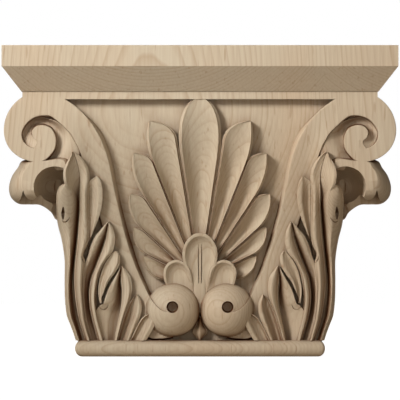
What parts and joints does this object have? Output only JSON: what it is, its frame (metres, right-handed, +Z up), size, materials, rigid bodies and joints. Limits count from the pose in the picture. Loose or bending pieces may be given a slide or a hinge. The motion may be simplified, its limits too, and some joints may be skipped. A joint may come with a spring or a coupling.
{
  "type": "pilaster capital",
  "caption": "Carved wooden pilaster capital with a moulded top, a fluted shell, corner scrolls, acanthus leaves and a bead at the foot, cut flat at the back.",
  "frame": {"origin": "middle of the underside's rectangle: halfway across the width and the depth, at the height of the foot", "axes": "+X along the width to the right, -Y out of the carved front, +Y towards the wall, +Z up"},
  "size_m": [0.232, 0.085, 0.1826],
  "materials": {
    "maple": "sanded hard maple, carved and unfinished"
  },
  "bodies": {
    "root": {"capital": "maple"}
  },
  "joints": []
}
